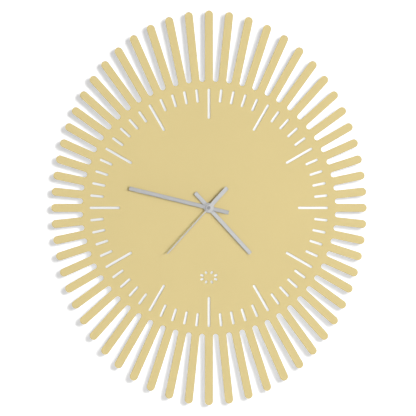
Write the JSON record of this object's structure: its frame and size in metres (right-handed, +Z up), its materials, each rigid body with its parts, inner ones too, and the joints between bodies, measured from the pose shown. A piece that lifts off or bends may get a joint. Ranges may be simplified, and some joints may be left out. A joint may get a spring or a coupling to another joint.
{
  "type": "wall clock",
  "caption": "Oval sunburst wall clock: lacquered ray panel with cut-through ticks over a white disc, flat metal hands and a geared quartz movement behind.",
  "frame": {"origin": "where the hands' axis meets the wall, on the flat back of the movement's rear cover", "axes": "+Y into the wall along the hands' axis, the dial faces -Y, +Z up towards 12 o'clock, +X towards 3 o'clock"},
  "size_m": [0.45, 0.0351, 0.563],
  "materials": {
    "lacquer": "pale yellow satin lacquer",
    "white_board": "matt white",
    "zinc_steel": "zinc plated",
    "spacer_plastic": "natural nylon",
    "black_rubber": "matt black",
    "brass": "turned",
    "hand_metal": "satin silver",
    "dark_cap": "dark grey satin",
    "case_black": "fine moulded texture",
    "gear_plastic": "moulded acetal",
    "bridge_plastic": "moulded acetal",
    "soft_iron": "annealed sheet",
    "magnet": "sintered",
    "copper_wire": "enamelled copper",
    "board_green": "solder mask",
    "resin_black": "cast resin",
    "wire_red": "insulated wire",
    "cell_wrap": "printed film without lettering"
  },
  "bodies": {
    "clock_body": {"front_panel": "lacquer", "backing_disc": "white_board", "panel_studs": "zinc_steel", "wall_spacers": "spacer_plastic", "wall_bumpers": "black_rubber", "hanger_bracket": "zinc_steel", "rubber_gasket": "black_rubber", "threaded_bush": "brass", "brass_washer": "brass", "hex_nut": "brass", "movement_case": "case_black", "rear_cover": "case_black", "train_bridge": "bridge_plastic", "stator_plate": "soft_iron", "coil_core": "soft_iron", "coil_bobbin": "bridge_plastic", "coil_winding": "copper_wire", "circuit_board": "board_green", "timing_chip": "resin_black", "quartz_crystal": "zinc_steel", "positive_contact": "zinc_steel", "negative_contact": "zinc_steel", "contact_spring": "zinc_steel", "lead_wire": "wire_red"},
    "second_hand_train": {"second_wheel": "gear_plastic", "second_arbor": "zinc_steel", "second_hand": "hand_metal", "second_cap": "dark_cap"},
    "rotor": {"rotor_pinion": "gear_plastic", "rotor_magnet": "magnet"},
    "step_wheel": {"step_wheel": "gear_plastic"},
    "third_wheel": {"third_wheel": "gear_plastic"},
    "centre_wheel": {"centre_wheel": "gear_plastic"},
    "minute_hand_train": {"minute_pipe": "brass", "clutch_spring": "brass", "minute_hand": "hand_metal", "minute_collet": "brass", "hand_nut": "brass"},
    "motion_wheel": {"motion_wheel": "gear_plastic"},
    "hour_hand_train": {"hour_wheel": "gear_plastic", "hour_hand": "hand_metal", "hour_collet": "brass"},
    "time_setter": {"setting_knob": "case_black", "setting_pinion": "gear_plastic"},
    "battery": {"battery_cell": "cell_wrap"}
  },
  "joints": [
    {"name": "second_hand_spin", "type": "hinge", "parent": "clock_body", "child": "second_hand_train", "pos_m": [0, 0, 0], "axis": [0, 1, 0], "continuous": true},
    {"name": "rotor_spin", "type": "hinge", "parent": "clock_body", "child": "rotor", "pos_m": [-0.0171, -0.005, 0.00988], "axis": [0, 1, 0], "continuous": true},
    {"name": "step_wheel_spin", "type": "hinge", "parent": "clock_body", "child": "step_wheel", "pos_m": [-0.00974, -0.005, 0.00562], "axis": [0, 1, 0], "continuous": true},
    {"name": "third_wheel_spin", "type": "hinge", "parent": "clock_body", "child": "third_wheel", "pos_m": [0.0108, -0.005, 0], "axis": [0, 1, 0], "continuous": true},
    {"name": "centre_wheel_spin", "type": "hinge", "parent": "clock_body", "child": "centre_wheel", "pos_m": [0, 0, 0], "axis": [0, 1, 0], "continuous": true},
    {"name": "minute_hand_spin", "type": "hinge", "parent": "clock_body", "child": "minute_hand_train", "pos_m": [0, 0, 0], "axis": [0, 1, 0], "continuous": true},
    {"name": "motion_wheel_spin", "type": "hinge", "parent": "clock_body", "child": "motion_wheel", "pos_m": [0.00525, -0.005, 0.00909], "axis": [0, 1, 0], "continuous": true},
    {"name": "hour_hand_spin", "type": "hinge", "parent": "clock_body", "child": "hour_hand_train", "pos_m": [0, 0, 0], "axis": [0, 1, 0], "continuous": true},
    {"name": "setting_knob_spin", "type": "hinge", "parent": "clock_body", "child": "time_setter", "pos_m": [0.01512, -0.005, 0.01268], "axis": [0, 1, 0], "continuous": true},
    {"name": "battery_slide", "type": "slide", "parent": "clock_body", "child": "battery", "axis": [0, 1, 0], "range_m": [0, 0.02]}
  ],
  "couplings": [
    {"joint": "rotor_spin", "follows": "second_hand_spin", "ratio": 30},
    {"joint": "step_wheel_spin", "follows": "second_hand_spin", "ratio": -4},
    {"joint": "third_wheel_spin", "follows": "second_hand_spin", "ratio": -0.125},
    {"joint": "centre_wheel_spin", "follows": "second_hand_spin", "ratio": 0.016667},
    {"joint": "motion_wheel_spin", "follows": "minute_hand_spin", "ratio": -0.33333},
    {"joint": "hour_hand_spin", "follows": "minute_hand_spin", "ratio": 0.083333},
    {"joint": "setting_knob_spin", "follows": "minute_hand_spin", "ratio": 1}
  ]
}
